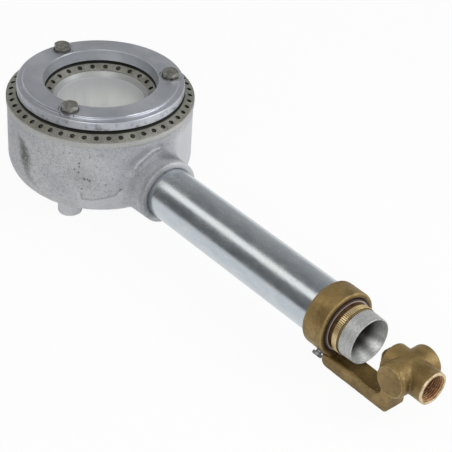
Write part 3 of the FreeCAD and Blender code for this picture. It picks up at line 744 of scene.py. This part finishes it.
def lumps(points, rows):
    """Sum of uneven heights at each point, from rows of height, scale and seed."""
    return sum(height * MM * uneven(points, scale, seed) for height, scale, seed in rows)


def fade(value, low, high):
    """0 below low, 1 above high, and smooth between."""
    share = np.clip((value - low) / (high - low), 0, 1)
    return share * share * (3 - 2 * share)


def from_tube_axis(points):
    """Distance of each point from the mixing tube's axis."""
    return np.hypot(points[:, 1], points[:, 2] - AXIS)


def scale_from_tube_axis(points, scale):
    """Moves points towards the mixing tube's axis or away from it."""
    points[:, 1] *= scale
    points[:, 2] = AXIS + (points[:, 2] - AXIS) * scale


def wall_point(degrees, height):
    """A point on the burner's wall, with its height in millimetres."""
    angle = math.radians(degrees)
    return Vector((WALL_RADIUS * math.cos(angle), WALL_RADIUS * math.sin(angle), height * MM))


def path_distance(points, path):
    """Distance of each point from a line through the path's points."""
    best = np.full(len(points), np.inf)
    for start, end in zip(path[:-1], path[1:]):
        start = np.array(start)
        run = np.array(end) - start
        share = np.clip(((points - start) @ run) / (run @ run), 0, 1)[:, None]
        best = np.minimum(best, np.linalg.norm(points - start - share * run, axis=1))
    return best


def near_path(points, path, full, none, wobble=0.0):
    """1 up to a distance from a path, fading to 0 at a second one. Both are in millimetres."""
    return 1 - fade(path_distance(points, path) + wobble, full * MM, none * MM)


def trail_share(points, rows):
    """1 on a trail down the wall, fading to 0 beyond its ragged sides."""
    gap = path_distance(points, [wall_point(*row[:2]) for row in rows])
    gap += lumps(points, TRAIL_LUMPS)
    heights, widths, strengths = np.array(sorted(row[1:] for row in rows)).T
    width = np.interp(points[:, 2], heights * MM, widths * MM)
    share = 1 - fade(gap, TRAIL_FULL * width, TRAIL_NONE * width)
    return share * np.interp(points[:, 2], heights * MM, strengths)


def on_skin(points, path):
    """The mesh's own points nearest to a path given in millimetres, without repeats."""
    places = [np.array(a) + (np.array(b) - np.array(a)) * i / LEG_STEPS
              for a, b in zip(path[:-1], path[1:]) for i in range(LEG_STEPS + 1)]
    nearest = [points[np.argmin(np.linalg.norm(points - place * MM, axis=1))] for place in places]
    return [a for a, b in zip(nearest, nearest[1:]) if np.linalg.norm(b - a) > LEAST_STEP] + nearest[-1:]


def add_marks(mesh, *channels):
    """Stores up to three shares per point for the material to read."""
    layer = mesh.color_attributes.new("marks", "FLOAT_COLOR", "POINT")
    values = np.zeros((len(mesh.vertices), 4))
    for i, channel in enumerate(channels):
        values[:, i] = channel
    layer.data.foreach_set("color", values.reshape(-1))


def flatten_socket_end(points):
    """Moves the socket's rounded end out to a flat face with a small round at its edge."""
    from_tube = from_tube_axis(points)
    along = points[:, 0] - SOCKET_ROUND_X
    out = from_tube - SOCKET_ROUND_RADIUS
    here = (along > 0) & (out > 0) & (out < SOCKET_ROUND_REACH)
    turn = np.degrees(np.arctan2(along, out))
    proud = np.hypot(along, out) - SOCKET_ROUND
    third = SOCKET_SHARE_DEGREES
    side = np.clip(turn / third, 0, 1)
    corner = math.pi / 2 * np.clip((turn - third) / third, 0, 1)
    face = np.clip((turn - 2 * third) / third, 0, 1)
    straight = SOCKET_ROUND - SOCKET_EDGE
    new_x = SOCKET_ROUND_X + straight * side + SOCKET_EDGE * np.sin(corner) + proud * np.sin(np.radians(turn))
    new_radius = (SOCKET_ROUND_RADIUS + SOCKET_ROUND - SOCKET_EDGE * (1 - np.cos(corner)) - straight * face
                  + proud * np.cos(np.radians(turn)))
    points[:, 0] = np.where(here, new_x, points[:, 0])
    scale_from_tube_axis(points, np.where(here, new_radius / np.maximum(from_tube, TINY), 1.0))


def finish_skin(piece, points, node_name, body, slot_name):
    """Writes the points, gives the piece its look and its body, and hides the node that it replaces."""
    mesh = piece.data
    mesh.vertices.foreach_set("co", points.reshape(-1))
    mesh.update()
    mesh.polygons.foreach_set("use_smooth", [True] * len(mesh.polygons))
    mesh.materials.append(LOOKS[slot_name])
    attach(piece, body)
    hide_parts(node_name)


def burner_body_skin():
    piece = remeshed("burner_body", BODY_VOXEL)
    mesh = piece.data
    points = relaxed(mesh, vectors_of(mesh, "co"), rounds=6, share=0.55)
    normals = vectors_of(mesh, "normal")
    x, y, height = points.T.copy()
    radius = np.hypot(x, y)
    bearing = np.degrees(np.arctan2(y, x))
    from_tube = from_tube_axis(points)

    # Rough cast skin, outside the turned lip and the machined bores
    outside = fade(radius, *WALL_SKIN) * (1 - fade(height, *WALL_TOP))
    underside = 1 - fade(height, *UNDERSIDE)
    socket = fade(x, *SOCKET_LENGTH) * fade(from_tube, *SOCKET_SKIN)
    cast = np.maximum.reduce([outside, underside, socket])
    push = cast * lumps(points, BODY_LUMPS)

    # Blow holes, cold-shut line, edge of the ground patch, and the rib over the socket
    pits = np.zeros(len(points))
    for degrees, level, size, depth in PITS:
        gap = np.linalg.norm(points - np.array(wall_point(degrees, level)), axis=1)
        near = 1 - fade(gap, PIT_FULL * size * MM, PIT_NONE * size * MM)
        push -= depth * MM * near
        pits = np.maximum(pits, near)
    crack = near_path(points, [wall_point(*row) for row in CRACK], full=0.15, none=0.7)
    push -= CRACK_DEPTH * crack
    edge = near_path(points, [wall_point(*row) for row in GROUND_EDGE], full=0.2, none=1.0)
    push -= GROUND_EDGE_DEPTH * edge
    wobble = lumps(points, RIB_LUMPS)
    rib = near_path(points, on_skin(points, SOCKET_RIB), full=0.2, none=1.3, wobble=wobble)
    foot = [tuple(np.add(place, RIB_FOOT_SHIFT)) for place in SOCKET_RIB]
    foot = near_path(points, on_skin(points, foot), full=0.2, none=1.0)
    push += RIB_HEIGHT * rib - RIB_FOOT_DEPTH * foot

    # Dark marks and painted shade: pits, the line and the patch's edge, with painted shade beyond the rib, on
    # the socket's top, at the left of its end and at the rib's foot
    dull = near_path(points, on_skin(points, SOCKET_ROOT_SHADE), full=1, none=6)
    top = near_path(points, on_skin(points, SOCKET_TOP_SHADE), full=1.5, none=7)
    dull = (ROOT_SHADE * dull + TOP_SHADE * top * (1 - fade(x, *SOCKET_TOP_END))) * (1 - rib)
    # Painted shade on the left of the socket's end
    mouth = fade(x, *MOUTH_LENGTH) * (1 - fade(y, *MOUTH_LEFT))
    dull = np.maximum.reduce([pits, crack, DULL_EDGE * edge, RIB_FOOT_SHADE * foot, dull, MOUTH_SHADE * mouth])

    # Ground metal and painted light: the ground patch over the lug, lighter partly as a painted reflection of
    # the floor; painted light on the wall right of the socket; painted highlights on the right of its end and
    # on the rib; and the ground feet
    edge_angles, edge_heights = np.array(GROUND_EDGE).T
    # Ground patch over the lug, its lighter tone partly a painted reflection of the floor
    below = fade(np.interp(bearing, edge_angles, edge_heights) * MM - height, 0, GROUND_FADE)
    patch = below * fade(bearing, *GROUND_START) * (1 - fade(bearing, *GROUND_END)) * fade(radius, *WALL_ONLY)
    # Painted light on the wall right of the socket, and painted highlights on the right of its end and along
    # the rib
    lit_wall = fade(bearing, *LIT_WALL_START) * (1 - fade(height, *LIT_WALL_TOP)) * fade(radius, *WALL_ONLY)
    end_face_highlight = fade(x, *END_FACE_LENGTH) * fade(y, *END_FACE_RIGHT)
    rib_highlight = RIB_HIGHLIGHT * rib * (1 + RIB_HIGHLIGHT_UNEVEN * uneven(points, 500, 10))
    ground_and_lit = np.maximum.reduce([patch, WALL_LIGHT * lit_wall, END_FACE_HIGHLIGHT * end_face_highlight, rib_highlight,
                                1 - fade(height, *GROUND_FOOT)])
    stain = np.maximum(trail_share(points, STAIN), trail_share(points, SOILED))
    add_marks(mesh, stain, np.clip(dull, 0, 1), ground_and_lit)

    # The socket's end is flat, its mouth closes in on the tube, and the lugs' feet are flat
    points = points + normals * push[:, None]
    flatten_socket_end(points)
    at_mouth = (points[:, 0] > MOUTH_START) & (from_tube < MOUTH_RADIUS)
    scale_from_tube_axis(points, np.where(at_mouth, (TUBE_RADIUS + MOUTH_GAP) / from_tube, 1.0))
    points[:, 2] = np.maximum(points[:, 2], BODY_FOOT)
    finish_skin(piece, points, "burner_body", "burner", "cast_aluminium")


def injector_bracket_skin():
    piece = remeshed("injector_bracket", BRACKET_VOXEL)
    mesh = piece.data
    points = relaxed(mesh, vectors_of(mesh, "co"), rounds=4, share=0.5)
    normals = vectors_of(mesh, "normal")
    x = points[:, 0]
    from_axis = from_tube_axis(points)
    collar_start, collar_end = COLLAR_BORE_ENDS
    in_collar = (from_axis < COLLAR_BORE) & (x > collar_start) & (x < collar_end)
    in_mouth = (from_axis < INLET_BORE) & (x > INLET_FACE - INLET_DEPTH)
    cast = (1 - fade(x, *INLET_SMOOTH)) * (1 - in_collar) * (1 - in_mouth)
    points = points + normals * (cast * lumps(points, BRACKET_LUMPS))[:, None]
    # The collar's bore clears the tube, and the mouth's wall goes behind the thread
    for inside, radius in ((in_collar, TUBE_RADIUS + COLLAR_GAP), (in_mouth, THREAD_ROOT)):
        here = inside & (from_axis < radius)
        scale_from_tube_axis(points, np.where(here, radius / np.maximum(from_axis, TINY), 1.0))
    points[:, 2] = np.maximum(points[:, 2], BRACKET_FOOT)
    finish_skin(piece, points, "injector_bracket", "bracket", "cast_brass")


def tube_ring(x, radii):
    """A ring of points about the mixing tube's axis, with a radius for each."""
    turns = [2 * math.pi * j / len(radii) for j in range(len(radii))]
    return [(x, r * math.cos(turn), AXIS + r * math.sin(turn)) for r, turn in zip(radii, turns)]


def ring_faces(rows, around):
    """Quads of a closed tube of sections: row by row, around, and back to the first row."""
    faces = []
    for i in range(rows):
        below = i * around
        above = ((i + 1) % rows) * around
        for j in range(around):
            after = (j + 1) % around
            faces.append((below + j, below + after, above + after, above + j))
    return faces


def inlet_thread():
    """The internal thread in the gas inlet, as a thin sleeve whose inside is the screw form."""
    steps = int(THREAD_LENGTH / THREAD_PITCH * STEPS_PER_TURN)
    vertices = []
    for i in range(steps + 1):
        x = THREAD_START - THREAD_LENGTH * i / steps
        lead = float(fade((THREAD_START - x) / THREAD_PITCH, 0.0, THREAD_LEAD_TURNS))
        radii = []
        for j in range(RING_POINTS):
            phase = (x / THREAD_PITCH - j / RING_POINTS) % 1.0
            form = (abs(phase - 0.5) * 2 - THREAD_FLAT_SHARE) / (1 - 2 * THREAD_FLAT_SHARE)
            form = min(1.0, max(0.0, form))
            radii.append(THREAD_ROOT - (THREAD_ROOT - THREAD_CREST) * form * lead)
        vertices += tube_ring(x, radii)
    for x in (THREAD_START - THREAD_LENGTH, THREAD_START):
        vertices += tube_ring(x, [SLEEVE_RADIUS] * RING_POINTS)
    mesh = bpy.data.meshes.new("inlet_thread")
    mesh.from_pydata(vertices, [], ring_faces(steps + 3, RING_POINTS))
    mesh.update()
    mesh.polygons.foreach_set("use_smooth", [True] * len(mesh.polygons))
    mesh.set_sharp_from_angle(angle=math.radians(SHARP_DEGREES))
    mesh.materials.append(LOOKS["thread_brass"])
    piece = new_object("inlet_thread", mesh)
    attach(piece, "bracket")


burner_body_skin()
injector_bracket_skin()
inlet_thread()


# Studio

# Square lamps: name, place, side and power, all aimed at the object's middle
LAMPS = [("key_lamp", (1.2, 1.0, 1.1), 1.0, 16), ("front_lamp", (0.9, -1.2, 1.0), 0.9, 10)]
MIDDLE = (0.11, 0, 0.03)
SURROUNDINGS_STRENGTH = 0.5

# The floor: half its side, its depth below the feet, its colour in light, and how far it shows
# as white to the camera and in the metal
FLOOR_HALF = 4.0
FLOOR_GAP = 0.1 * MM
FLOOR_COLOUR = (0.9, 0.9, 0.9, 1)
FLOOR_WHITE = 0.93

# The tent: its radius, half its length, the steps of its arch, and where and how high its dark
# skirt ends on the camera's side
TENT_RADIUS = 1.7
TENT_HALF_LENGTH = 3.2
TENT_STEPS = 48
TENT_SKIRT = 0.19
TENT_SKIRT_LIFT = 1.5 * MM
# Softbox slit: its angles about the tube's axis from the far horizon, its strength and its tint
SLIT_START = 110
SLIT_END = 134
SLIT_GAIN = 1.6
SLIT_TINT = (1.0, 0.965, 0.91, 1.0)
# Brightness of the cloth by angle in degrees from the far horizon
TENT_LEVELS = [(0, 0.62), (20, 0.46), (50, 0.35), (80, 0.23), (SLIT_START - 3, 0.2), (SLIT_START, 1.0),
               (SLIT_END, 1.0), (SLIT_END + 3, 0.22), (160, 0.12), (180, 0.1)]
# Brightness over which the cloth counts as the slit
SLIT_LEVEL = 0.8


def area_lamp(name, place, side, power):
    lamp = bpy.data.lights.new(name, "AREA")
    lamp.shape = "RECTANGLE"
    lamp.size = side
    lamp.size_y = side
    lamp.energy = power
    holder = new_object(name, lamp)
    holder.location = place
    holder.rotation_euler = (Vector(MIDDLE) - Vector(place)).to_track_quat("-Z", "Y").to_euler()


def ray_share(tree, *kinds):
    """1 for the named kinds of ray, which see white there, and 0 for the rest."""
    path = tree.nodes.new("ShaderNodeLightPath")
    share = path.outputs[kinds[0]]
    for kind in kinds[1:]:
        either = tree.nodes.new("ShaderNodeMath")
        either.operation = "MAXIMUM"
        tree.links.new(share, either.inputs[0])
        tree.links.new(path.outputs[kind], either.inputs[1])
        share = either.outputs[0]
    return share


def blend_shaders(tree, share, first, second, output):
    """Sends a mix of two shader nodes to the output."""
    blend = tree.nodes.new("ShaderNodeMixShader")
    for socket, value in zip(blend.inputs, (share, first.outputs[0], second.outputs[0])):
        tree.links.new(value, socket)
    tree.links.new(blend.outputs[0], output.inputs["Surface"])


def studio_floor():
    """A pale floor that keeps the object's shadow."""
    mesh = bpy.data.meshes.new("floor")
    corners = [(x * FLOOR_HALF, y * FLOOR_HALF, 0) for x, y in ((-1, -1), (1, -1), (1, 1), (-1, 1))]
    mesh.from_pydata(corners, [], [(0, 1, 2, 3)])
    floor = new_object("floor", mesh)
    floor.location.z = BODY_FOOT - FLOOR_GAP
    material = bpy.data.materials.new("floor_white")
    material.use_nodes = True
    tree = material.node_tree
    tree.nodes.clear()
    matte = tree.nodes.new("ShaderNodeBsdfDiffuse")
    matte.inputs["Color"].default_value = FLOOR_COLOUR
    share = tree.nodes.new("ShaderNodeMath")
    share.operation = "MULTIPLY"
    share.inputs[1].default_value = FLOOR_WHITE
    tree.links.new(ray_share(tree, "Is Camera Ray", "Is Glossy Ray"), share.inputs[0])
    blend_shaders(tree, share.outputs[0], matte, tree.nodes.new("ShaderNodeEmission"),
                  tree.nodes.new("ShaderNodeOutputMaterial"))
    mesh.materials.append(material)


def white_surroundings():
    """A world that lights the object softly, and is white where it is seen."""
    world = bpy.data.worlds.new("studio")
    world.use_nodes = True
    tree = world.node_tree
    tree.nodes.clear()
    lit = tree.nodes.new("ShaderNodeBackground")
    lit.inputs["Strength"].default_value = SURROUNDINGS_STRENGTH
    share = ray_share(tree, "Is Camera Ray", "Is Transmission Ray", "Is Glossy Ray")
    blend_shaders(tree, share, lit, tree.nodes.new("ShaderNodeBackground"),
                  tree.nodes.new("ShaderNodeOutputWorld"))
    bpy.context.scene.world = world


def studio_tent():
    """A half tunnel along the tube that only the metal's reflections see: a softbox slit overhead
    on the camera's side, grey cloth elsewhere."""
    rows = []
    for i in range(TENT_STEPS + 1):
        angle = math.pi * i / TENT_STEPS
        rows.append((TENT_RADIUS * math.cos(angle), TENT_RADIUS * math.sin(angle)))
    rows.append((-TENT_SKIRT, TENT_SKIRT_LIFT))
    vertices = [(x, y, z) for y, z in rows for x in (-TENT_HALF_LENGTH, TENT_HALF_LENGTH)]
    faces = [(2 * i, 2 * i + 1, 2 * i + 3, 2 * i + 2) for i in range(TENT_STEPS + 1)]
    mesh = bpy.data.meshes.new("studio_tent")
    mesh.from_pydata(vertices, [], faces)
    tent = new_object("studio_tent", mesh)
    tent.visible_camera = False
    tent.visible_diffuse = False
    tent.visible_shadow = False
    tent.visible_transmission = False
    look = Look("tent_cloth")
    x, y, z = look.split()
    around = look.math("DIVIDE", look.math("ARCTAN2", z, y), math.pi)
    ramp = look.tree.nodes.new("ShaderNodeValToRGB")
    look.tree.links.new(around, ramp.inputs[0])
    stops = ramp.color_ramp.elements
    while len(stops) < len(TENT_LEVELS):
        stops.new(0.5)
    for stop, (degrees, level) in zip(stops, TENT_LEVELS):
        stop.position = degrees / 180
        stop.color = (level, level, level, 1)
    slit = look.math("GREATER_THAN", ramp.outputs[0], SLIT_LEVEL)
    tint = look.mix(slit, (1.0, 1.0, 1.0, 1.0), SLIT_TINT)
    glow = look.tree.nodes.new("ShaderNodeEmission")
    look.plug(glow.inputs["Color"], look.mix(1.0, ramp.outputs[0], tint, "MULTIPLY"))
    look.plug(glow.inputs["Strength"], look.math("ADD", 1.0, look.math("MULTIPLY", slit, SLIT_GAIN - 1)))
    look.tree.links.new(glow.outputs[0], look.output.inputs["Surface"])
    mesh.materials.append(look.material)


white_surroundings()
studio_floor()
studio_tent()
for lamp_values in LAMPS:
    area_lamp(*lamp_values)


# Camera at the photograph's viewing angle: its right and backward directions, its place over the
# casting's rim, its sensor and lens in millimetres, and its near limit
CAMERA_RIGHT = (0.6400, 0.7661, 0.0590)
CAMERA_BACK = (0.6057, -0.5503, 0.5746)
CAMERA_PLACE = (0.6649, -0.4872, 0.4783 + RIM)
SENSOR_WIDTH = 36.0
LENS = 117.11
NEAR_LIMIT = 0.05


def photo_camera():
    back = Vector(CAMERA_BACK).normalized()
    up = back.cross(Vector(CAMERA_RIGHT).normalized()).normalized()
    right = up.cross(back)
    data = bpy.data.cameras.new("camera")
    data.sensor_width = SENSOR_WIDTH
    data.lens = LENS
    data.clip_start = NEAR_LIMIT
    camera = new_object("camera", data)
    turn = Matrix((right, up, back)).transposed().to_4x4()
    camera.matrix_world = Matrix.Translation(CAMERA_PLACE) @ turn
    bpy.context.scene.camera = camera


photo_camera()
bpy.context.scene.view_settings.view_transform = "Standard"
